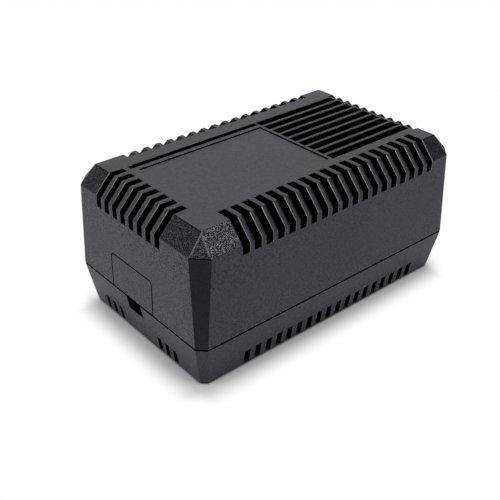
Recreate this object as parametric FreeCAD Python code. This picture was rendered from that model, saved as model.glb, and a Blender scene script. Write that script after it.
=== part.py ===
import FreeCAD, Part
import math
import os

from FreeCAD import Vector

# Injection moulded two-part housing: a deep cover screwed down on a shallow base.
# All sizes are in millimetres. Length runs along X, width along Y and height along Z.
# The origin is on the ground under the middle of the closed housing.

# Outer form. The parting line is the widest section: the base leans in below it to its
# underside, and the cover leans in a little above it up to the shoulder of the bevelled top.
LENGTH = 150.0
WIDTH = 90.0
HEIGHT = 70.0
PARTING_HEIGHT = 21.0
UNDERSIDE_HEIGHT = 0.8
BASE_LEAN = 3.65
COVER_LEAN = 0.5
BEVEL_RUN = 7.5
BEVEL_DROP = 8.0

# Flats that cut the four upright corners, measured along each wall.
UNDERSIDE_CORNER_CUT = 2.4
PARTING_CORNER_CUT = 3.65
SHOULDER_CORNER_CUT = 6.2

# Walls and the joint between cover and base.
WALL = 2.5
FLOOR = 2.5
PARTING_GAP = 0.5
SKIRT_THICKNESS = 1.15
LIP_HEIGHT = 2.2
LIP_SIDE_CLEARANCE = 0.15
LIP_TOP_CLEARANCE = 0.2

# Slots that wrap over the top edges of the cover. The rear width is that of the back and far
# rows. The start and end, or front and back, of a row are distances from the ends of its wall
# at the parting line, and a reach is measured from the edge of the flat top face.
SLOT_WIDTH = 3.6
REAR_SLOT_WIDTH = 4.0
SLOT_PITCH = 6.0
SLOT_BELOW_SHOULDER = 4.3
FRONT_ROW_START = 21.65
FRONT_ROW_END = 16.65
FRONT_SLOT_REACH = 7.7
BACK_ROW_START = 22.4
BACK_ROW_END = 20.8
BACK_SLOT_PITCH = 6.42
BACK_SLOT_REACH = 3.6
CABLE_ROW_FRONT = 25.0
CABLE_ROW_BACK = 19.1
CABLE_SLOT_REACH = 6.5
CABLE_SLOT_BELOW_SHOULDER = 5.3
FAR_ROW_FRONT = 17.75
FAR_ROW_BACK = 18.45
FAR_SLOT_PITCH = 5.52
FAR_SLOT_REACH = 2.3
FAR_SLOT_BELOW_SHOULDER = 0.5

# Grille of long slots in the top, beside the shallow recess. Edge distances are taken
# from the edges of the flat top face.
GRILLE_LENGTH = 49.55
GRILLE_SLOT_WIDTH = 4.3
GRILLE_PITCH = 5.8
GRILLE_END_EDGE = 3.4
GRILLE_FRONT_EDGE = 12.0
GRILLE_BACK_EDGE = 11.2
RECESS_DEPTH = 0.55
RECESS_GRILLE_LAND = 1.6
RECESS_CABLE_EDGE = 11.4
RECESS_FRONT_EDGE = 13.0
RECESS_BACK_EDGE = 16.4
LONG_SLOT_WIDTH = 2.65
LONG_SLOT_BACK_EDGE = 11.3
LONG_SLOT_OVERHANG = 2.5
LONG_SLOT_GRILLE_LAND = 0.8

# Cable end: a notch in the base under a knock-out panel that is scored into the cover.
CABLE_CENTRE = 2.2
NOTCH_WIDTH = 10.4
NOTCH_DEPTH = 7.3
PANEL_WIDTH = 30.2
PANEL_HEIGHT = 17.0
PANEL_CORNER_RADIUS = 2.2
SCORE_WIDTH = 0.35
SCORE_DEPTH = 0.7

# Vents along the bottom edge of the base, open through the wall and the underside.
VENT_TOP = 8.3
VENT_REACH = 3.5
SIDE_VENT_WIDTH = 2.9
SIDE_VENT_PITCH = 6.0
SIDE_VENT_START = 24.8
SIDE_VENT_END = 20.25
END_VENT_WIDTH = 2.6
END_VENT_PITCH = 5.4
END_VENT_COUNT = 3
END_VENT_GROUP_OFFSET = 20.2

# Low kerb on the floor just inside the vents, which screens the inside from view.
KERB_THICKNESS = 1.5
KERB_TOP = 13.4
KERB_SETBACK = 0.7

# Screws that enter from below and the pillars and bosses that take them. The places are
# insets from the ends and sides at the parting line.
SCREW_INSET_X = 12.5
SCREW_INSET_Y = 13.0
SCREW_DIAMETER = 2.9
SCREW_LENGTH = 14.0
SCREW_POINT = 2.0
HEAD_DIAMETER = 5.6
HEAD_EDGE = 1.2
HEAD_HEIGHT = 2.1
CROWN_DIAMETER = 4.2
DRIVE_WIDTH = 0.8
DRIVE_SPAN = 3.0
DRIVE_DEPTH = 1.2
SEAT_THICKNESS = 4.5
HEAD_CLEARANCE = 0.7
HOLE_CLEARANCE = 0.25
THREAD_CLEARANCE = 0.05
PILOT_END_CLEARANCE = 1.0
PILLAR_WALL = 1.5
BOSS_WALL = 2.5
RIB_THICKNESS = 1.6
RIB_ABOVE_LIP = 1.0
RIB_BELOW_SHOULDER = 8.0

# How far a cutting shape runs past the surface that it opens.
OVERCUT = 1.0

HALF_LENGTH = LENGTH / 2
HALF_WIDTH = WIDTH / 2
SHOULDER_HEIGHT = HEIGHT - BEVEL_DROP
SHOULDER_HALF_X = HALF_LENGTH - COVER_LEAN
SHOULDER_HALF_Y = HALF_WIDTH - COVER_LEAN
TOP_HALF_X = SHOULDER_HALF_X - BEVEL_RUN
TOP_HALF_Y = SHOULDER_HALF_Y - BEVEL_RUN
UNDERSIDE_HALF_X = HALF_LENGTH - BASE_LEAN
UNDERSIDE_HALF_Y = HALF_WIDTH - BASE_LEAN
COVER_BOTTOM = PARTING_HEIGHT + PARTING_GAP / 2
BASE_TOP = PARTING_HEIGHT - PARTING_GAP / 2
LIP_TOP = BASE_TOP + LIP_HEIGHT
REBATE_TOP = LIP_TOP + LIP_TOP_CLEARANCE
SEAT_HEIGHT = PARTING_HEIGHT - SEAT_THICKNESS


def section(half_x, half_y, corner_cut, height, inset=0.0):
    """Corners of an eight-sided section, anticlockwise, moved in evenly by the inset."""
    half_x -= inset
    half_y -= inset
    corner_cut -= inset * (2 - math.sqrt(2))
    corners = []
    for side_x, side_y in ((1, -1), (1, 1), (-1, 1), (-1, -1)):
        on_long_wall = Vector(side_x * (half_x - corner_cut), side_y * half_y, height)
        on_end_wall = Vector(side_x * half_x, side_y * (half_y - corner_cut), height)
        pair = [on_long_wall, on_end_wall]
        corners += pair if side_x * side_y < 0 else pair[::-1]
    return corners


def flat_face(points):
    """Flat face through the points, with repeated points taken once."""
    corners = []
    for point in points:
        if all(point.distanceToPoint(corner) > 1e-6 for corner in corners):
            corners.append(point)
    return Part.Face(Part.makePolygon(corners + corners[:1])) if len(corners) > 2 else None


def faceted_body(sections):
    """Solid with flat sides through sections that are stacked from the bottom up."""
    faces = [flat_face(sections[0]), flat_face(sections[-1])]
    for lower, upper in zip(sections, sections[1:]):
        for first in range(len(lower)):
            second = (first + 1) % len(lower)
            side = flat_face([lower[first], lower[second], upper[second], upper[first]])
            faces.append(side)
    shell = Part.makeShell([face for face in faces if face])
    shell.sewShape()
    body = Part.makeSolid(shell)
    if body.Volume < 0:
        body.reverse()
    return body


def block(x_range, y_range, z_range):
    """Box between two values along each axis, given in either order."""
    low = Vector(min(x_range), min(y_range), min(z_range))
    high = Vector(max(x_range), max(y_range), max(z_range))
    size = high - low
    return Part.makeBox(size.x, size.y, size.z, low)


def cylinder(diameter, bottom, top, x, y):
    return Part.makeCylinder(diameter / 2, top - bottom, Vector(x, y, bottom))


def row(low, high, pitch, width):
    """Centres of as many slots as fit between two ends, spread evenly about the middle."""
    steps = math.floor((high - low - width) / pitch + 1e-6)
    middle = (low + high) / 2
    return [middle + (step - steps / 2) * pitch for step in range(steps + 1)]


def screw_places():
    """The four screw axes, with the sides of the housing that each is nearest to."""
    return [
        (side_x * (HALF_LENGTH - SCREW_INSET_X), side_y * (HALF_WIDTH - SCREW_INSET_Y), side_x, side_y)
        for side_x in (-1, 1)
        for side_y in (-1, 1)
    ]


def cover_outer():
    return faceted_body([
        section(HALF_LENGTH, HALF_WIDTH, PARTING_CORNER_CUT, COVER_BOTTOM),
        section(SHOULDER_HALF_X, SHOULDER_HALF_Y, SHOULDER_CORNER_CUT, SHOULDER_HEIGHT),
        section(TOP_HALF_X, TOP_HALF_Y, 0, HEIGHT),
    ])


def cover_cavity():
    """Inside of the cover, with the wall's thickness kept square to the bevels too."""
    slope = math.hypot(BEVEL_RUN, BEVEL_DROP)
    inner_shoulder = SHOULDER_HEIGHT - WALL * (slope - BEVEL_DROP) / BEVEL_RUN
    inner_run = BEVEL_RUN + WALL * (slope - BEVEL_RUN) / BEVEL_DROP
    return faceted_body([
        section(HALF_LENGTH, HALF_WIDTH, PARTING_CORNER_CUT, COVER_BOTTOM - OVERCUT, WALL),
        section(SHOULDER_HALF_X, SHOULDER_HALF_Y, SHOULDER_CORNER_CUT, inner_shoulder, WALL),
        section(SHOULDER_HALF_X - inner_run, SHOULDER_HALF_Y - inner_run, 0, HEIGHT - WALL),
    ])


def rim(outer_inset, bottom, top):
    """Upright ring inside the parting line, from the given inset to the wall's inner face."""
    ring = [
        faceted_body([
            section(HALF_LENGTH, HALF_WIDTH, PARTING_CORNER_CUT, height, inset)
            for height in (bottom, top)
        ])
        for inset in (outer_inset, WALL)
    ]
    return ring[0].cut(ring[1])


def side_slots(side_y, row_start, row_end, pitch, width, reach):
    """Slots over one long top edge of the cover, from the top face down into the wall."""
    return [
        block(
            (x - width / 2, x + width / 2),
            (side_y * (TOP_HALF_Y - reach), side_y * (HALF_WIDTH + OVERCUT)),
            (SHOULDER_HEIGHT - SLOT_BELOW_SHOULDER, HEIGHT + OVERCUT),
        )
        for x in row(row_start - HALF_LENGTH, HALF_LENGTH - row_end, pitch, width)
    ]


def end_slots(side_x, row_front, row_back, pitch, width, reach, below_shoulder):
    """Slots over one short top edge of the cover."""
    return [
        block(
            (side_x * (TOP_HALF_X - reach), side_x * (HALF_LENGTH + OVERCUT)),
            (y - width / 2, y + width / 2),
            (SHOULDER_HEIGHT - below_shoulder, HEIGHT + OVERCUT),
        )
        for y in row(row_front - HALF_WIDTH, HALF_WIDTH - row_back, pitch, width)
    ]


def top_openings():
    """Grille, the long narrow slot in line with it, and the shallow recess beside it."""
    grille_end = TOP_HALF_X - GRILLE_END_EDGE
    grille_start = grille_end - GRILLE_LENGTH
    recess_start = RECESS_CABLE_EDGE - TOP_HALF_X
    through_top = (HEIGHT - WALL - OVERCUT, HEIGHT + OVERCUT)
    grille = [
        block(
            (grille_start, grille_end),
            (y - GRILLE_SLOT_WIDTH / 2, y + GRILLE_SLOT_WIDTH / 2),
            through_top,
        )
        for y in row(
            GRILLE_FRONT_EDGE - TOP_HALF_Y,
            TOP_HALF_Y - GRILLE_BACK_EDGE,
            GRILLE_PITCH,
            GRILLE_SLOT_WIDTH,
        )
    ]
    long_slot_back = TOP_HALF_Y - LONG_SLOT_BACK_EDGE
    long_slot = block(
        (recess_start - LONG_SLOT_OVERHANG, grille_start - LONG_SLOT_GRILLE_LAND),
        (long_slot_back - LONG_SLOT_WIDTH, long_slot_back),
        through_top,
    )
    recess = block(
        (recess_start, grille_start - RECESS_GRILLE_LAND),
        (RECESS_FRONT_EDGE - TOP_HALF_Y, TOP_HALF_Y - RECESS_BACK_EDGE),
        (HEIGHT - RECESS_DEPTH, HEIGHT + OVERCUT),
    )
    return grille + [long_slot, recess]


def arched_prism(width, top, radius, x_range):
    """Upright prism through the cable end, with its two top corners rounded."""
    bottom = COVER_BOTTOM - OVERCUT
    left = CABLE_CENTRE - width / 2
    right = CABLE_CENTRE + width / 2
    diagonal = radius * (1 - math.sqrt(0.5))
    x = min(x_range)
    edges = [
        Part.makeLine((x, left, bottom), (x, left, top - radius)),
        Part.Arc(
            Vector(x, left, top - radius),
            Vector(x, left + diagonal, top - diagonal),
            Vector(x, left + radius, top),
        ).toShape(),
        Part.makeLine((x, left + radius, top), (x, right - radius, top)),
        Part.Arc(
            Vector(x, right - radius, top),
            Vector(x, right - diagonal, top - diagonal),
            Vector(x, right, top - radius),
        ).toShape(),
        Part.makeLine((x, right, top - radius), (x, right, bottom)),
        Part.makeLine((x, right, bottom), (x, left, bottom)),
    ]
    return Part.Face(Part.Wire(edges)).extrude(Vector(max(x_range) - x, 0, 0))


def panel_score():
    """Fine line around the knock-out panel, open at the parting line."""
    top = COVER_BOTTOM + PANEL_HEIGHT
    x_range = (-HALF_LENGTH - OVERCUT, SCORE_DEPTH - HALF_LENGTH)
    outline = arched_prism(PANEL_WIDTH, top, PANEL_CORNER_RADIUS, x_range)
    panel = arched_prism(
        PANEL_WIDTH - 2 * SCORE_WIDTH,
        top - SCORE_WIDTH,
        PANEL_CORNER_RADIUS - SCORE_WIDTH,
        x_range,
    )
    return outline.cut(panel)


def screw_boss(x, y, side_x, side_y, outer):
    """Boss hung from the top of the cover, with two ribs that tie it to the walls."""
    boss = cylinder(SCREW_DIAMETER + 2 * BOSS_WALL, PARTING_HEIGHT, HEIGHT - WALL / 2, x, y)
    rib_height = (REBATE_TOP + RIB_ABOVE_LIP, SHOULDER_HEIGHT - RIB_BELOW_SHOULDER)
    across = (y - RIB_THICKNESS / 2, y + RIB_THICKNESS / 2)
    along = (x - RIB_THICKNESS / 2, x + RIB_THICKNESS / 2)
    end_rib = block((x, side_x * (HALF_LENGTH - WALL / 2)), across, rib_height)
    side_rib = block(along, (y, side_y * (HALF_WIDTH - WALL / 2)), rib_height)
    return boss.fuse([end_rib, side_rib]).common(outer)


def pilot_hole(x, y):
    diameter = SCREW_DIAMETER + 2 * THREAD_CLEARANCE
    top = SEAT_HEIGHT + SCREW_LENGTH + PILOT_END_CLEARANCE
    return cylinder(diameter, PARTING_HEIGHT - OVERCUT, top, x, y)


def top_cover():
    outer = cover_outer()
    rebate = rim(SKIRT_THICKNESS, COVER_BOTTOM - OVERCUT, REBATE_TOP)
    slots = (
        side_slots(-1, FRONT_ROW_START, FRONT_ROW_END, SLOT_PITCH, SLOT_WIDTH, FRONT_SLOT_REACH)
        + side_slots(1, BACK_ROW_START, BACK_ROW_END, BACK_SLOT_PITCH, REAR_SLOT_WIDTH, BACK_SLOT_REACH)
        + end_slots(
            -1, CABLE_ROW_FRONT, CABLE_ROW_BACK, SLOT_PITCH,
            SLOT_WIDTH, CABLE_SLOT_REACH, CABLE_SLOT_BELOW_SHOULDER,
        )
        + end_slots(
            1, FAR_ROW_FRONT, FAR_ROW_BACK, FAR_SLOT_PITCH,
            REAR_SLOT_WIDTH, FAR_SLOT_REACH, FAR_SLOT_BELOW_SHOULDER,
        )
    )
    shell = outer.cut([cover_cavity(), rebate, panel_score()] + slots + top_openings())
    places = screw_places()
    shell = shell.fuse([screw_boss(*place, outer) for place in places])
    return shell.cut([pilot_hole(x, y) for x, y, _, _ in places]).removeSplitter()


def base_outer():
    return faceted_body([
        section(UNDERSIDE_HALF_X, UNDERSIDE_HALF_Y, UNDERSIDE_CORNER_CUT, UNDERSIDE_HEIGHT),
        section(HALF_LENGTH, HALF_WIDTH, PARTING_CORNER_CUT, BASE_TOP),
    ])


def base_cavity():
    """Inside of the base, which follows the lean of the walls down to the floor."""
    floor_height = UNDERSIDE_HEIGHT + FLOOR
    rise = FLOOR / (BASE_TOP - UNDERSIDE_HEIGHT)
    floor_lean = BASE_LEAN * (1 - rise)
    floor_cut = UNDERSIDE_CORNER_CUT + (PARTING_CORNER_CUT - UNDERSIDE_CORNER_CUT) * rise
    return faceted_body([
        section(HALF_LENGTH - floor_lean, HALF_WIDTH - floor_lean, floor_cut, floor_height, WALL),
        section(HALF_LENGTH, HALF_WIDTH, PARTING_CORNER_CUT, BASE_TOP, WALL),
        section(HALF_LENGTH, HALF_WIDTH, PARTING_CORNER_CUT, BASE_TOP + OVERCUT, WALL),
    ])


def side_vents():
    """Vents along the bottom of both long walls."""
    centres = row(
        SIDE_VENT_START - HALF_LENGTH, HALF_LENGTH - SIDE_VENT_END, SIDE_VENT_PITCH, SIDE_VENT_WIDTH
    )
    return [
        block(
            (x - SIDE_VENT_WIDTH / 2, x + SIDE_VENT_WIDTH / 2),
            (side_y * (UNDERSIDE_HALF_Y - VENT_REACH), side_y * (HALF_WIDTH + OVERCUT)),
            (-OVERCUT, VENT_TOP),
        )
        for side_y in (-1, 1)
        for x in centres
    ]


def end_vents():
    """Two groups of vents along the bottom of each end wall, either side of the cable."""
    centres = [
        CABLE_CENTRE + group * END_VENT_GROUP_OFFSET + (step - (END_VENT_COUNT - 1) / 2) * END_VENT_PITCH
        for group in (-1, 1)
        for step in range(END_VENT_COUNT)
    ]
    return [
        block(
            (side_x * (UNDERSIDE_HALF_X - VENT_REACH), side_x * (HALF_LENGTH + OVERCUT)),
            (y - END_VENT_WIDTH / 2, y + END_VENT_WIDTH / 2),
            (-OVERCUT, VENT_TOP),
        )
        for side_x in (-1, 1)
        for y in centres
    ]


def cable_notch():
    """Notch for the cable in the top edge of the base, through the lip as well."""
    return block(
        (-HALF_LENGTH - OVERCUT, BASE_LEAN + WALL + OVERCUT - HALF_LENGTH),
        (CABLE_CENTRE - NOTCH_WIDTH / 2, CABLE_CENTRE + NOTCH_WIDTH / 2),
        (PARTING_HEIGHT - NOTCH_DEPTH, LIP_TOP + OVERCUT),
    )


def kerb():
    """Upstand round the floor, inside the vents and joined to the pillars."""
    half_x = UNDERSIDE_HALF_X - VENT_REACH - KERB_SETBACK
    half_y = UNDERSIDE_HALF_Y - VENT_REACH - KERB_SETBACK
    height = (UNDERSIDE_HEIGHT + FLOOR / 2, KERB_TOP)
    outer, inner = [
        block((inset - half_x, half_x - inset), (inset - half_y, half_y - inset), height)
        for inset in (0, KERB_THICKNESS)
    ]
    return outer.cut(inner)


def screw_well(x, y):
    """Deep well for a screw head from below, with the clearance hole above its seat."""
    well = cylinder(HEAD_DIAMETER + 2 * HEAD_CLEARANCE, -OVERCUT, SEAT_HEIGHT, x, y)
    hole = cylinder(SCREW_DIAMETER + 2 * HOLE_CLEARANCE, 0, PARTING_HEIGHT + OVERCUT, x, y)
    return well.fuse(hole)


def base_shell():
    lip = rim(SKIRT_THICKNESS + LIP_SIDE_CLEARANCE, BASE_TOP, LIP_TOP)
    tray = base_outer().cut(base_cavity()).fuse(lip)
    tray = tray.cut(side_vents() + end_vents() + [cable_notch()])
    pillar_diameter = HEAD_DIAMETER + 2 * (HEAD_CLEARANCE + PILLAR_WALL)
    places = screw_places()
    pillars = [cylinder(pillar_diameter, 0, PARTING_HEIGHT, x, y) for x, y, _, _ in places]
    tray = tray.fuse(pillars + [kerb()])
    return tray.cut([screw_well(x, y) for x, y, _, _ in places]).removeSplitter()


def screw(x, y):
    """Pan head self-tapping screw, head down, with its thread left as a plain shank."""
    head = HEAD_DIAMETER / 2
    shank = SCREW_DIAMETER / 2
    outline = [
        Vector(0, 0, SCREW_LENGTH),
        Vector(shank, 0, SCREW_LENGTH - SCREW_POINT),
        Vector(shank, 0, 0),
        Vector(head, 0, 0),
        Vector(head, 0, -HEAD_EDGE),
        Vector(CROWN_DIAMETER / 2, 0, -HEAD_HEIGHT),
        Vector(0, 0, -HEAD_HEIGHT),
    ]
    body = flat_face(outline).revolve(Vector(), Vector(0, 0, 1), 360)
    drive_height = (-HEAD_HEIGHT - OVERCUT, DRIVE_DEPTH - HEAD_HEIGHT)
    span = (-DRIVE_SPAN / 2, DRIVE_SPAN / 2)
    width = (-DRIVE_WIDTH / 2, DRIVE_WIDTH / 2)
    body = body.cut([block(span, width, drive_height), block(width, span, drive_height)])
    body.translate(Vector(x, y, SEAT_HEIGHT))
    return body


def all_nodes():
    nodes = {"top_cover": top_cover(), "base_shell": base_shell()}
    for number, (x, y, _, _) in enumerate(screw_places(), start=1):
        nodes[f"screw_{number}"] = screw(x, y)
    return nodes


os.makedirs("parts", exist_ok=True)
for name, shape in all_nodes().items():
    solids = shape.Solids
    print(name, "solids", len(solids), "valid", shape.isValid(), "volume", round(shape.Volume, 1))
    solids[0].exportStep(f"parts/{name}.step")
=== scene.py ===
import math
from types import SimpleNamespace

import bmesh
import bpy
from mathutils import Matrix, Vector

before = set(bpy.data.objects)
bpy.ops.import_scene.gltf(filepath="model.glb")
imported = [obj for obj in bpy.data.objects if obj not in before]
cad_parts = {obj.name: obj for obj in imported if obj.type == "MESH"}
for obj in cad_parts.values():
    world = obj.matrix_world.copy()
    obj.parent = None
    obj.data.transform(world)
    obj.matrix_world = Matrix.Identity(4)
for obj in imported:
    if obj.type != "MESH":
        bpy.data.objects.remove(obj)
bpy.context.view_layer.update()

# Sizes are in metres. A pair is the span over which a finish fades in or out, unless its
# comment says otherwise.

# Outer sections of the two mouldings: height, half length, half width and corner cut. The
# finishes follow the flat faces that lie between them.
COVER_SECTIONS = (
    (0.021, 0.075, 0.045, 0.00365),
    (0.062, 0.0745, 0.0445, 0.0062),
    (0.070, 0.067, 0.037, 0),
)
BASE_SECTIONS = (
    (0.0008, 0.07135, 0.04135, 0.0024),
    (0.021, 0.075, 0.045, 0.00365),
)
PARTING_HEIGHT, SHOULDER_HEIGHT, TOP_HEIGHT = (section[0] for section in COVER_SECTIONS)
UNDERSIDE_HEIGHT = BASE_SECTIONS[0][0]

# How squarely a face has to look along an axis to be a wall or the top, part of a long side, a
# slope or a bevel, and along two axes at once to be a corner piece.
WALL_FACING = (0.9, 0.97)
SIDE_FACING = (0.6, 0.75)
SLOPE_FACING = (0.3, 0.5)
BEVEL_FACING = (0.4, 0.5)
CORNER_FACING = (0.3, 0.45)

# Middle of the slotted stretches of the bevels, and their ends to each side of it.
SLOTTED_MIDDLE = (0.0025, 0.003, 0)
SLOTTED_END_X = (0.0562, 0.0564)
SLOTTED_END_Y = (0.0232, 0.0234)

# The corner pieces at the cable end of the long sides, lighter by a painted sheen: their end
# along the housing, the width and the lower end of the painted highlight bands beside their
# arrises, the least and the most glint of the bands, and what the corner facet keeps of
# its glint.
PAINTED_SHEEN_END = (-0.055, -0.045)
SHEEN_HIGHLIGHT_BAND = (0.0001, 0.0006)
SHEEN_HIGHLIGHT_START = (SHOULDER_HEIGHT + 0.0006, SHOULDER_HEIGHT + 0.0012)
SHEEN_HIGHLIGHT_GLINT = (0.36, 0.8)
SHEEN_FACET_GLINT = 0.5

# What the other coarse pieces keep of their glint towards the far end, painted darker there as
# shade.
FAR_END = (0.0, 0.05)
FAR_END_SHADED_GLINT = 0.55

# The block that holds the steps of the recess and the long slot, painted black as shade, the
# floor of the recess, which is left out of that, its corner by the grille, and the crease along
# the two edges that meet there, which is painted dark as shade.
STEPS_MIDDLE = (-0.0209, 0.00425, 0.0697)
STEPS_HALF = (0.0341, 0.02775, 0.0005)
STEPS_FADE = (0.0, 0.0002)
RECESS_FLOOR = (0.0689, 0.0690)
RECESS_CORNER = (0.01245, 0.0206, 0)
CREASE = (-0.0005, -0.0004)

# Depths under the outer skin at which an arris begins and at which the painted shade of the
# slots, black, begins, and how much further down it begins in the row of the cable end.
ARRIS_DEPTH = (0.00006, 0.00009)
SLOT_DEPTH = (0.00013, 0.00019)
CABLE_ROW_END = (-0.058, -0.057)
CABLE_ROW_MORE = 0.00022

# The back row, whose painted slot shade turns from grey to black along the housing, and the
# share of black in that grey.
BACK_ROW_START = (0.033, 0.0335)
BACK_ROW_GREY_END = (-0.02, 0.03)
BACK_ROW_BLACK = 0.5

# The vents and grooves, which lie lower down: their upper end, and the depth at which their
# black painted shade begins.
GROOVES_END = (0.053, 0.054)
GROOVE_DEPTH = (0.00004, 0.00007)

# The ribs between the front slots, whose far halves are painted darker on the bevel as shade:
# the bevel's end across the housing, the middle of one slot, the pitch, the stretch over which
# a rib darkens, and how much of its shade goes.
FRONT_BEVEL_END = (-0.035, -0.0345)
RIBS_FROM = 0.0025
RIB_PITCH = 0.006
RIB_DARKENS = (RIBS_FROM + 0.0025, RIBS_FROM + 0.0039)
RIB_PAINTED_SHADE = 0.75

# The ribs of the far row, painted darker all over as shade: the row's start along the housing,
# its ends to each side of the middle, and how much of the shade goes.
FAR_ROW_START = (0.0642, 0.0650)
FAR_ROW_END = (0.0268, 0.0273)
FAR_ROW_PAINTED_SHADE = 0.6

# Lines of painted shade: the parting line, the feet of the corner facets, and the top rims of
# the coarse pieces with their share of black.
SEAM_HALF = (0.00044, 0.00052)
FOOT_HEIGHT = SHOULDER_HEIGHT - 0.0002
FOOT_HALF = (0.0002, 0.0003)
RIM_START = (TOP_HEIGHT - 0.0004, TOP_HEIGHT - 0.0003)
RIM_BLACK = 0.8

# The arrises of the slots, with painted highlights on those that look towards the light and
# painted shade on those that look away: the direction in which the lit ones look, how far
# that way the lit and the dark ones look, the upper end of the dark ones, the heights over
# which the lit ones gain their painted light, and what they keep of it low down and in the
# row of the cable end.
CATCHES_LIGHT = (-1, -1, -0.6)
LIT_FACING = (0.45, 0.8)
DARK_FACING = (0.05, 0.15)
DARK_ARRIS_END = (TOP_HEIGHT - 0.0006, TOP_HEIGHT - 0.0002)
LIT_HEIGHTS = (SHOULDER_HEIGHT - 0.002, TOP_HEIGHT)
LIT_LOW = 0.5
LIT_CABLE_ROW = 0.58

# Colours of the finishes, and of the painted sheen, highlights and shade.
SATIN_BLACK = (0.026, 0.026, 0.033)
SIDE_BLACK = (0.026, 0.0285, 0.036)
SATIN_TINT = (0.96, 0.93, 1.0)
CORNER_PAINTED_SHADE = (0.008, 0.009, 0.012)
SPARK_BLACK = (0.002, 0.004, 0.006)
SPARK_GLINT = (0.105, 0.109, 0.122)
SHEEN_BLACK = (0.006, 0.006, 0.007)
SHEEN_GLINT = (0.355, 0.355, 0.41)
ARRIS_PAINTED_SHADE = (0.006, 0.006, 0.007)
ARRIS_PAINTED_HIGHLIGHT = (0.95, 0.95, 0.95)
PAINTED_SHADE_BLACK = (0.0015, 0.0015, 0.002)
ZINC = (0.42, 0.43, 0.45)
CLOUDED_ZINC = (0.336, 0.344, 0.36)
PALE_FLOOR = (0.88, 0.88, 0.88)

# Shine of the fine skin, the upright corner flats, the coarse skin, the arrises and the screws,
# and roughness of the skin, the arrises and the screws.
SKIN_SHINE = 0.275
FLAT_SHINE = 0.16
COARSE_SHINE = 0.05
ARRIS_SHINE = 0.6
ZINC_SHINE = 0.5
SKIN_ROUGHNESS = 0.5
ARRIS_ROUGHNESS = 0.35
ZINC_ROUGHNESS = 0.32

# Grain of the moulds and clouds of the zinc: repeats per metre, detail and roughness of each
# noise, the part of a noise's range that is used, and the part over which a grain glints.
FINE_GRAIN = (2100, 2.0, 0.6)
SPARK_GRAIN = (3400, 2.0, 0.65)
MOTTLE = (800, 2.0, 0.6)
ZINC_CLOUDS = (900, 3.0, 0.6)
NOISE_RANGE = (0.3, 0.7)
GLINT_RANGE = (0.53, 0.61)

# Strength of the fine grain on the long walls and on the end walls, what the top keeps of it,
# the strength of the mottle, the painted light on the end walls against 1 for the long ones,
# and the painted shade that makes the top darker.
SIDE_GRAIN = 0.38
END_GRAIN = 0.85
TOP_GRAIN = 0.3
MOTTLE_STRENGTH = 0.11
END_PAINTED_LIGHT = 1.18
TOP_PAINTED_SHADE = 0.12

# Relief of the fine grain.
BUMP_STRENGTH = 0.3
BUMP_HEIGHT = 0.0001

# Soft arrises of the mouldings.
ARRIS_WIDTH = 0.00028
ARRIS_SEGMENTS = 2
ARRIS_ANGLE = math.radians(28)
WELD_DISTANCE = 0.000002
FLAT_ANGLE = math.radians(0.4)

# Camera, from the housing's corners in the photograph. The shift is along the picture's width
# and height.
CAMERA_PLACE = Vector((-0.22021, -0.24022, 0.22142))
CAMERA_TURN = math.radians(-38.7)
CAMERA_DIP = math.radians(32.04)
CAMERA_ROLL = math.radians(-0.71)
CAMERA_LENS = 58.07
CAMERA_SHIFT = (0.0559, -0.0018)
NEAREST_SEEN = 0.01

# Soft boxes: name, azimuth and elevation in degrees, distance, size and level.
SOFT_BOXES = (
    ("overhead", 60, 64, 0.9, 0.9, 0.48),
    ("left", 165, 25, 0.9, 0.6, 0.3),
    ("right", -68, 45, 0.9, 0.5, 0.22),
)

# Light of the surroundings on dull surfaces.
WORLD_LEVEL = 0.4

# The floor: half its size, the middle and half sizes of the patch that keeps the shadow, the
# distances outside the patch over which it turns plain white, those from the edge of the base
# over which the painted contact shadow ends, and what is left of the floor's colour in it.
FLOOR_HALF = 2.5
PATCH_MIDDLE = (-0.003, -0.0028, 0)
PATCH_HALF = (0.0700, 0.0389, 0)
FLOOR_FADE = (0.0, 0.0135)
PAINTED_SHADOW_FADE = (-0.0011, 0.0007)
PAINTED_SHADOW_LEVEL = 0.08


def wire(tree, kind, *feeds, output=0, **settings):
    """One node of a finish, fed in order by numbers, vectors or the sockets of other nodes."""
    node = tree.nodes.new(kind)
    for name, value in settings.items():
        setattr(node, name, value)
    for socket, feed in zip(node.inputs, feeds):
        if isinstance(feed, bpy.types.NodeSocket):
            tree.links.new(feed, socket)
        elif feed is not None:
            socket.default_value = feed
    return node.outputs[output]


def sums(tree, operation, *feeds):
    return wire(tree, "ShaderNodeMath", *feeds, operation=operation)


def vector_sums(tree, operation, *feeds, output="Vector"):
    return wire(tree, "ShaderNodeVectorMath", *feeds, output=output, operation=operation)


def run_along(tree, vector, direction):
    """How far a vector runs in a direction."""
    return vector_sums(tree, "DOT_PRODUCT", vector, direction, output="Value")


def scaled(tree, vector, scale):
    return vector_sums(tree, "SCALE", vector, None, None, scale)


def away_from(tree, place, middle):
    """Distances from a middle along the three axes, whichever side the place lies on."""
    return vector_sums(tree, "ABSOLUTE", vector_sums(tree, "SUBTRACT", place, middle))


def split(tree, vector):
    node = tree.nodes.new("ShaderNodeSeparateXYZ")
    tree.links.new(vector, node.inputs[0])
    return node.outputs


def rise(tree, feed, span, start=0.0, end=1.0):
    """Smooth change from start to end while the feed crosses the span."""
    kind = "ShaderNodeMapRange"
    return wire(tree, kind, feed, *span, start, end, interpolation_type="SMOOTHSTEP")


def fall(tree, feed, span):
    return rise(tree, feed, span, 1.0, 0.0)


def near_height(tree, height, middle, half):
    """Share of a level line, from its middle height and the span in which each half of it ends."""
    return fall(tree, sums(tree, "ABSOLUTE", sums(tree, "SUBTRACT", height, middle)), half)


def left_of(tree, share):
    """What a share leaves of one."""
    return sums(tree, "SUBTRACT", 1.0, share)


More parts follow.
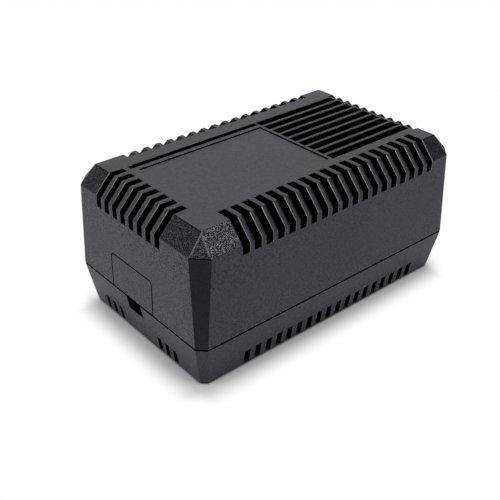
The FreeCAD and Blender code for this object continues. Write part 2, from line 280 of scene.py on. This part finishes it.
def every(tree, *shares):
    """Share that is whole only where all of the given ones are."""
    product = shares[0]
    for share in shares[1:]:
        product = sums(tree, "MULTIPLY", product, share)
    return product


def either(tree, *shares):
    """The largest of the given shares."""
    largest = shares[0]
    for share in shares[1:]:
        largest = sums(tree, "MAXIMUM", largest, share)
    return largest


def blend(tree, share, first, second):
    return wire(tree, "ShaderNodeMix", share, None, first, second)


def blend_colour(tree, share, first, second):
    """Mix of two colours, whose sockets follow those for numbers and vectors."""
    pair = ((*feed, 1) if isinstance(feed, tuple) else feed for feed in (first, second))
    others = [None] * 5
    return wire(tree, "ShaderNodeMix", share, *others, *pair, output=2, data_type="RGBA")


def noise(tree, place, grain):
    return wire(tree, "ShaderNodeTexNoise", place, None, *grain)


def object_place(tree):
    return wire(tree, "ShaderNodeTexCoord", output="Object")


def new_material(name, roughness, shine):
    material = bpy.data.materials.new(name)
    material.use_nodes = True
    shader = material.node_tree.nodes["Principled BSDF"]
    shader.inputs["Roughness"].default_value = roughness
    shader.inputs["Specular IOR Level"].default_value = shine
    return material, material.node_tree, shader


def outer_planes(sections):
    """Outward normals and reaches of a moulding's end, side and corner faces."""
    planes = []
    for (low, length, width, cut), (high, length_2, width_2, cut_2) in zip(sections, sections[1:]):
        climb = high - low
        corner, corner_2 = length + width - cut, length_2 + width_2 - cut_2
        for slope, point in (
            ((climb, 0, length - length_2), (length, 0, low)),
            ((0, climb, width - width_2), (0, width, low)),
            ((climb, climb, corner - corner_2), (corner, 0, low)),
        ):
            normal = Vector(slope).normalized()
            planes.append((normal, normal.dot(Vector(point))))
    return planes


def depths_inside(tree, place, planes):
    """How far the surface lies inside the nearest outer plane, and inside the next one."""
    folded = vector_sums(tree, "ABSOLUTE", place)
    depth = next_depth = 1.0
    for normal, reach in planes:
        found = sums(tree, "SUBTRACT", reach, run_along(tree, folded, tuple(normal)))
        next_depth = sums(tree, "MINIMUM", next_depth, sums(tree, "MAXIMUM", depth, found))
        depth = sums(tree, "MINIMUM", depth, found)
    return depth, next_depth


def read_surface(tree, place, planes):
    """What the finishes go by: where a face lies, how deep, which way it looks, and the parts
    of the housing that several finishes ask for."""
    depth, next_depth = depths_inside(tree, place, planes)
    facing = wire(tree, "ShaderNodeNewGeometry", output="Normal")
    face_x, face_y, face_z = split(tree, vector_sums(tree, "ABSOLUTE", facing))
    run_x, run_y, height = split(tree, place)
    top = rise(tree, face_z, WALL_FACING)
    back = rise(tree, run_y, BACK_ROW_START)
    return SimpleNamespace(
        place=place,
        run_x=run_x,
        run_y=run_y,
        height=height,
        facing=facing,
        face_x=face_x,
        face_y=face_y,
        depth=depth,
        next_depth=next_depth,
        under_skin=rise(tree, depth, ARRIS_DEPTH),
        top=top,
        sloping=every(tree, rise(tree, face_z, SLOPE_FACING), left_of(tree, top)),
        corner=rise(tree, sums(tree, "MINIMUM", face_x, face_y), CORNER_FACING),
        low=fall(tree, height, GROOVES_END),
        back_row=every(tree, back, fall(tree, run_x, BACK_ROW_GREY_END)),
    )


def coarse_pieces(tree, at):
    """The corner pieces of the bevels, which lie beyond the slotted stretches."""
    along_x, along_y, _ = split(tree, away_from(tree, at.place, SLOTTED_MIDDLE))
    past_x = rise(tree, along_x, SLOTTED_END_X)
    past_y = rise(tree, along_y, SLOTTED_END_Y)
    beside_x = every(tree, rise(tree, at.face_y, BEVEL_FACING), past_x)
    beside_y = every(tree, rise(tree, at.face_x, BEVEL_FACING), past_y)
    return every(tree, at.sloping, either(tree, at.corner, beside_x, beside_y))


def painted_sheen_pieces(tree, at, coarse):
    """The coarse pieces lighter by a painted sheen, and the painted highlight bands on them."""
    on_side = rise(tree, at.face_y, CORNER_FACING)
    painted_sheen = every(tree, coarse, on_side, fall(tree, at.run_x, PAINTED_SHEEN_END))
    highlight_band = every(tree, at.corner, fall(tree, at.next_depth, SHEEN_HIGHLIGHT_BAND))
    return painted_sheen, every(tree, painted_sheen, highlight_band, rise(tree, at.height, SHEEN_HIGHLIGHT_START))


def recess_floor(tree, at):
    """The floor of the recess, as far as the crease."""
    past_x, past_y, _ = split(tree, vector_sums(tree, "SUBTRACT", at.place, RECESS_CORNER))
    crease = rise(tree, sums(tree, "MAXIMUM", past_x, past_y), CREASE)
    return every(tree, at.top, rise(tree, at.height, RECESS_FLOOR), left_of(tree, crease))


def painted_shade_inside(tree, at):
    """Painted shade, black, inside the slots, on the steps of the top, and in the vents and
    grooves.
    """
    cable_row = rise(tree, at.face_y, WALL_FACING)
    cable_row = every(tree, cable_row, fall(tree, at.run_x, CABLE_ROW_END))
    shown = sums(tree, "SUBTRACT", at.depth, every(tree, cable_row, CABLE_ROW_MORE))
    black = blend(tree, at.back_row, 1.0, BACK_ROW_BLACK)
    slots = every(tree, rise(tree, shown, SLOT_DEPTH), black)
    outside = vector_sums(tree, "SUBTRACT", away_from(tree, at.place, STEPS_MIDDLE), STEPS_HALF)
    steps = fall(tree, either(tree, *split(tree, outside)), STEPS_FADE)
    steps = every(tree, at.under_skin, steps)
    grooves = every(tree, at.low, rise(tree, at.depth, GROOVE_DEPTH))
    inner = either(tree, slots, steps, grooves)
    return every(tree, inner, left_of(tree, recess_floor(tree, at)))


def painted_shade_lines(tree, at, without_sheen):
    """Painted shade along the parting line, the feet of the corner facets, and the rims of the
    coarse pieces without the painted sheen."""
    seam = near_height(tree, at.height, PARTING_HEIGHT, SEAM_HALF)
    foot = near_height(tree, at.height, FOOT_HEIGHT, FOOT_HALF)
    foot = every(tree, at.corner, foot, left_of(tree, at.under_skin))
    rim = every(tree, without_sheen, rise(tree, at.height, RIM_START), RIM_BLACK)
    return either(tree, foot, seam, rim)


def slot_arrises(tree, at):
    """Painted shade on the arrises of the slots that look away from the light, and painted
    highlights on those that catch it.
    """
    elsewhere = either(tree, at.back_row, at.low)
    arris = every(tree, at.under_skin, fall(tree, at.depth, SLOT_DEPTH), left_of(tree, elsewhere))
    towards = run_along(tree, at.facing, CATCHES_LIGHT)
    dark = every(tree, arris, fall(tree, at.height, DARK_ARRIS_END))
    dark = every(tree, dark, fall(tree, towards, DARK_FACING))
    lit = every(tree, arris, rise(tree, towards, LIT_FACING))
    lit = every(tree, lit, rise(tree, at.height, LIT_HEIGHTS, LIT_LOW, 1.0))
    lit = every(tree, lit, rise(tree, at.run_x, CABLE_ROW_END, LIT_CABLE_ROW, 1.0))
    return dark, lit


def paint_rib_shade(tree, at):
    """What the front-bevel and far-row ribs keep of their shade under the painted shade."""
    front_bevel = every(tree, at.sloping, fall(tree, at.run_y, FRONT_BEVEL_END))
    on_rib = sums(tree, "WRAP", at.run_x, RIBS_FROM + RIB_PITCH, RIBS_FROM)
    # Painted shade on the far half of each front rib and on the ribs of the far row.
    front = every(tree, front_bevel, rise(tree, on_rib, RIB_DARKENS), RIB_PAINTED_SHADE)
    far = fall(tree, sums(tree, "ABSOLUTE", at.run_y), FAR_ROW_END)
    far = every(tree, far, rise(tree, at.run_x, FAR_ROW_START), FAR_ROW_PAINTED_SHADE)
    return every(tree, left_of(tree, front), left_of(tree, far))


def skin_zones(tree, place, planes):
    """Share of each finish, painted sheen, highlight and shade on the faces of a moulding, and
    what the ribs keep of their shade.
    """
    at = read_surface(tree, place, planes)
    coarse = coarse_pieces(tree, at)
    painted_sheen, painted_highlight_band = painted_sheen_pieces(tree, at, coarse)
    painted_shade_arris, painted_highlight_arris = slot_arrises(tree, at)
    lines = painted_shade_lines(tree, at, every(tree, coarse, left_of(tree, painted_sheen)))
    return SimpleNamespace(
        top=at.top,
        end=rise(tree, at.face_x, WALL_FACING),
        side=rise(tree, at.face_y, SIDE_FACING),
        flat=every(tree, at.corner, left_of(tree, at.sloping)),
        painted_rib_shade=paint_rib_shade(tree, at),
        coarse=coarse,
        coarse_far_shade=every(tree, coarse, rise(tree, at.run_x, FAR_END)),
        painted_sheen=painted_sheen,
        sheen_facet=every(tree, painted_sheen, at.corner),
        painted_highlight_band=painted_highlight_band,
        painted_shade_arris=painted_shade_arris,
        painted_highlight_arris=painted_highlight_arris,
        inside=either(tree, painted_shade_inside(tree, at), lines),
    )


def grain_and_painted_shade(tree, zones, fine, mottle):
    """Skin light and dark: grain, and painted light and shade on the walls, top and ribs."""
    grain = blend(tree, zones.end, SIDE_GRAIN, END_GRAIN)
    grain = every(tree, grain, blend(tree, zones.top, 1.0, TOP_GRAIN))
    shade = every(tree, rise(tree, fine, NOISE_RANGE, -1.0, 1.0), grain)
    cloud = rise(tree, mottle, NOISE_RANGE, -MOTTLE_STRENGTH, MOTTLE_STRENGTH)
    shade = sums(tree, "ADD", shade, cloud)
    # Painted light on the end walls and painted shade on the top.
    shade = sums(tree, "ADD", shade, blend(tree, zones.end, 1.0, END_PAINTED_LIGHT))
    shade = sums(tree, "SUBTRACT", shade, every(tree, zones.top, TOP_PAINTED_SHADE))
    return every(tree, shade, zones.painted_rib_shade)


def skin_colour(tree, zones, flat, shade, glint):
    """Skin colour: finishes, painted sheen, highlights and shade, laid on from the walls inwards.
    """
    # Painted shade: the coarse pieces glint less towards the far end.
    sparkling = every(tree, glint, blend(tree, zones.coarse_far_shade, 1.0, FAR_END_SHADED_GLINT))
    sparkling = blend_colour(tree, sparkling, SPARK_BLACK, SPARK_GLINT)
    # Painted sheen and painted highlight bands on the corner pieces at the cable end.
    painted_sheen = every(tree, glint, blend(tree, zones.sheen_facet, 1.0, SHEEN_FACET_GLINT))
    highlight_band = every(tree, zones.painted_highlight_band, blend(tree, glint, *SHEEN_HIGHLIGHT_GLINT))
    painted_sheen = blend_colour(tree, either(tree, painted_sheen, highlight_band), SHEEN_BLACK, SHEEN_GLINT)

    colour = scaled(tree, blend_colour(tree, zones.side, SATIN_BLACK, SIDE_BLACK), shade)
    for zone, finish in (
        # Painted shade on the cover's upright corner flats.
        (flat, CORNER_PAINTED_SHADE),
        (zones.coarse, sparkling),
        (zones.painted_sheen, painted_sheen),
        # Painted shade and painted highlights on the slots' arrises.
        (zones.painted_shade_arris, ARRIS_PAINTED_SHADE),
        (zones.painted_highlight_arris, ARRIS_PAINTED_HIGHLIGHT),
        # Painted shade: black in the slots, steps, vents, grooves and dark lines.
        (zones.inside, PAINTED_SHADE_BLACK),
    ):
        colour = blend_colour(tree, zone, colour, finish)
    return colour


def skin_shine(tree, zones, flat, shade):
    shine = every(tree, blend(tree, flat, SKIN_SHINE, FLAT_SHINE), shade)
    shine = blend(tree, zones.coarse, shine, COARSE_SHINE)
    shine = every(tree, shine, left_of(tree, zones.painted_shade_arris))
    shine = blend(tree, zones.painted_highlight_arris, shine, ARRIS_SHINE)
    return every(tree, shine, left_of(tree, zones.inside))


def moulded_plastic(name, sections, cap, painted_shade_flats):
    """Black plastic: fine grain on the walls, a plainer top, upright corner flats on the cover
    painted darker as shade, sparkling grain on the corner pieces of the bevels, some with a
    painted sheen, painted light and shade on the walls, top, ribs and arrises, and painted shade,
    black in the slots."""
    material, tree, shader = new_material(name, SKIN_ROUGHNESS, SKIN_SHINE)
    place = object_place(tree)
    zones = skin_zones(tree, place, outer_planes(sections) + [cap])
    flat = every(tree, zones.flat, painted_shade_flats)
    fine = noise(tree, place, FINE_GRAIN)
    shade = grain_and_painted_shade(tree, zones, fine, noise(tree, place, MOTTLE))
    glint = rise(tree, noise(tree, place, SPARK_GRAIN), GLINT_RANGE)
    roughness = blend(tree, zones.painted_highlight_arris, SKIN_ROUGHNESS, ARRIS_ROUGHNESS)
    grain = wire(tree, "ShaderNodeBump", BUMP_STRENGTH, BUMP_HEIGHT)
    tree.links.new(fine, grain.node.inputs["Height"])
    for socket, feed in (
        ("Base Color", skin_colour(tree, zones, flat, shade, glint)),
        ("Specular IOR Level", skin_shine(tree, zones, flat, shade)),
        ("Roughness", roughness),
        ("Normal", grain),
    ):
        tree.links.new(feed, shader.inputs[socket])
    shader.inputs["Specular Tint"].default_value = (*SATIN_TINT, 1)
    return material


def zinc_steel():
    material, tree, shader = new_material("screw_zinc", ZINC_ROUGHNESS, ZINC_SHINE)
    shader.inputs["Metallic"].default_value = 1.0
    cloud = rise(tree, noise(tree, object_place(tree), ZINC_CLOUDS), NOISE_RANGE)
    tree.links.new(blend_colour(tree, cloud, ZINC, CLOUDED_ZINC), shader.inputs["Base Color"])
    return material


def soften(node):
    """Soft arrises on a moulding, where its faces meet at an angle."""
    weld = node.modifiers.new("weld", "WELD")
    weld.merge_threshold = WELD_DISTANCE
    flats = node.modifiers.new("flats", "DECIMATE")
    flats.decimate_type = "DISSOLVE"
    flats.angle_limit = FLAT_ANGLE
    bevel = node.modifiers.new("arris", "BEVEL")
    bevel.width = ARRIS_WIDTH
    bevel.segments = ARRIS_SEGMENTS
    bevel.limit_method = "ANGLE"
    bevel.angle_limit = ARRIS_ANGLE
    bevel.use_clamp_overlap = False
    bevel.harden_normals = True


def finish_with(node, material):
    node.data.materials.clear()
    node.data.materials.append(material)


def set_camera():
    view = bpy.data.objects.new("camera", bpy.data.cameras.new("camera"))
    bpy.context.scene.collection.objects.link(view)
    view.location = CAMERA_PLACE
    turn = Matrix.Rotation(CAMERA_TURN, 4, "Z")
    dip = Matrix.Rotation(math.pi / 2 - CAMERA_DIP, 4, "X")
    roll = Matrix.Rotation(CAMERA_ROLL, 4, "Z")
    view.rotation_euler = (turn @ dip @ roll).to_euler()
    view.data.lens = CAMERA_LENS
    view.data.shift_x, view.data.shift_y = CAMERA_SHIFT
    view.data.clip_start = NEAREST_SEEN
    bpy.context.scene.camera = view


def soft_box(name, azimuth, elevation, distance, size, level):
    """Square lamp that faces the housing. At level 1, a face square to it renders its colour."""
    lamp = bpy.data.objects.new(name, bpy.data.lights.new(name, "AREA"))
    bpy.context.scene.collection.objects.link(lamp)
    turn, lift = math.radians(azimuth), math.radians(elevation)
    out = math.cos(lift)
    aim = Vector((math.cos(turn) * out, math.sin(turn) * out, math.sin(lift)))
    lamp.location = aim * distance
    lamp.rotation_euler = aim.to_track_quat("Z", "Y").to_euler()
    lamp.data.size = size
    lamp.data.energy = level * (math.pi * distance) ** 2


def seen_rays(tree):
    """Whole for the rays that show a surface as it is: direct, through glass or off gloss."""
    rays = tree.nodes.new("ShaderNodeLightPath").outputs
    kinds = ("Is Camera Ray", "Is Transmission Ray", "Is Glossy Ray")
    return either(tree, *(rays[kind] for kind in kinds))


def set_world():
    world = bpy.data.worlds.new("studio")
    bpy.context.scene.world = world
    world.use_nodes = True
    tree = world.node_tree
    background = tree.nodes["Background"].inputs
    background["Color"].default_value = (1, 1, 1, 1)
    strength = rise(tree, seen_rays(tree), (0.0, 1.0), WORLD_LEVEL, 1.0)
    tree.links.new(strength, background["Strength"])


def painted_contact_shadow(tree, place):
    """Painted contact shadow: what the floor keeps of its colour under the base and close
    round it.
    """
    _, half_x, half_y, cut = BASE_SECTIONS[0]
    folded = vector_sums(tree, "ABSOLUTE", place)
    past = vector_sums(tree, "SUBTRACT", folded, (half_x, half_y, 0))
    past_x, past_y, _ = split(tree, past)
    past_cut = sums(tree, "ADD", sums(tree, "ADD", past_x, past_y), cut)
    past_cut = sums(tree, "MULTIPLY", past_cut, math.sqrt(0.5))
    outside = either(tree, past_x, past_y, past_cut)
    return rise(tree, outside, PAINTED_SHADOW_FADE, PAINTED_SHADOW_LEVEL, 1.0)


def past_shadow(tree, place):
    """Share of plain white in the floor, outside the patch that keeps the shadow."""
    outside = vector_sums(tree, "SUBTRACT", away_from(tree, place, PATCH_MIDDLE), PATCH_HALF)
    outside = vector_sums(tree, "MAXIMUM", outside, (0, 0, 0))
    return rise(tree, run_along(tree, outside, (1, 1, 0)), FLOOR_FADE)


def floor_paint():
    material, tree, shader = new_material("floor", 1.0, 0.0)
    place = object_place(tree)
    # Painted contact shadow on the floor under and round the base.
    shadowed_floor = scaled(tree, PALE_FLOOR, painted_contact_shadow(tree, place))
    tree.links.new(shadowed_floor, shader.inputs["Base Color"])
    white = wire(tree, "ShaderNodeEmission", (1, 1, 1, 1), 1.0)
    share = every(tree, seen_rays(tree), past_shadow(tree, place))
    mixed = wire(tree, "ShaderNodeMixShader", share, shader.outputs[0], white)
    tree.links.new(mixed, tree.nodes["Material Output"].inputs["Surface"])
    return material


def set_floor():
    """Pale floor that keeps the housing's shadow, with a painted contact shadow round the base,
    and is plain white further out.
    """
    mesh = bpy.data.meshes.new("floor")
    sheet = bmesh.new()
    bmesh.ops.create_grid(sheet, x_segments=1, y_segments=1, size=FLOOR_HALF)
    sheet.to_mesh(mesh)
    sheet.free()
    floor = bpy.data.objects.new("floor", mesh)
    bpy.context.scene.collection.objects.link(floor)
    mesh.materials.append(floor_paint())


top_plane = (Vector((0, 0, 1)), TOP_HEIGHT)
underside_plane = (Vector((0, 0, -1)), -UNDERSIDE_HEIGHT)
# Only the cover's upright corner flats take the painted shade.
cover_plastic = moulded_plastic("cover_plastic", COVER_SECTIONS, top_plane, painted_shade_flats=1.0)
base_plastic = moulded_plastic("base_plastic", BASE_SECTIONS, underside_plane, painted_shade_flats=0.0)
steel = zinc_steel()
for name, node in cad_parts.items():
    if name.startswith("screw"):
        finish_with(node, steel)
    else:
        finish_with(node, cover_plastic if name == "top_cover" else base_plastic)
        soften(node)

set_camera()
for box in SOFT_BOXES:
    soft_box(*box)
set_world()
bpy.context.scene.view_settings.view_transform = "Standard"
set_floor()
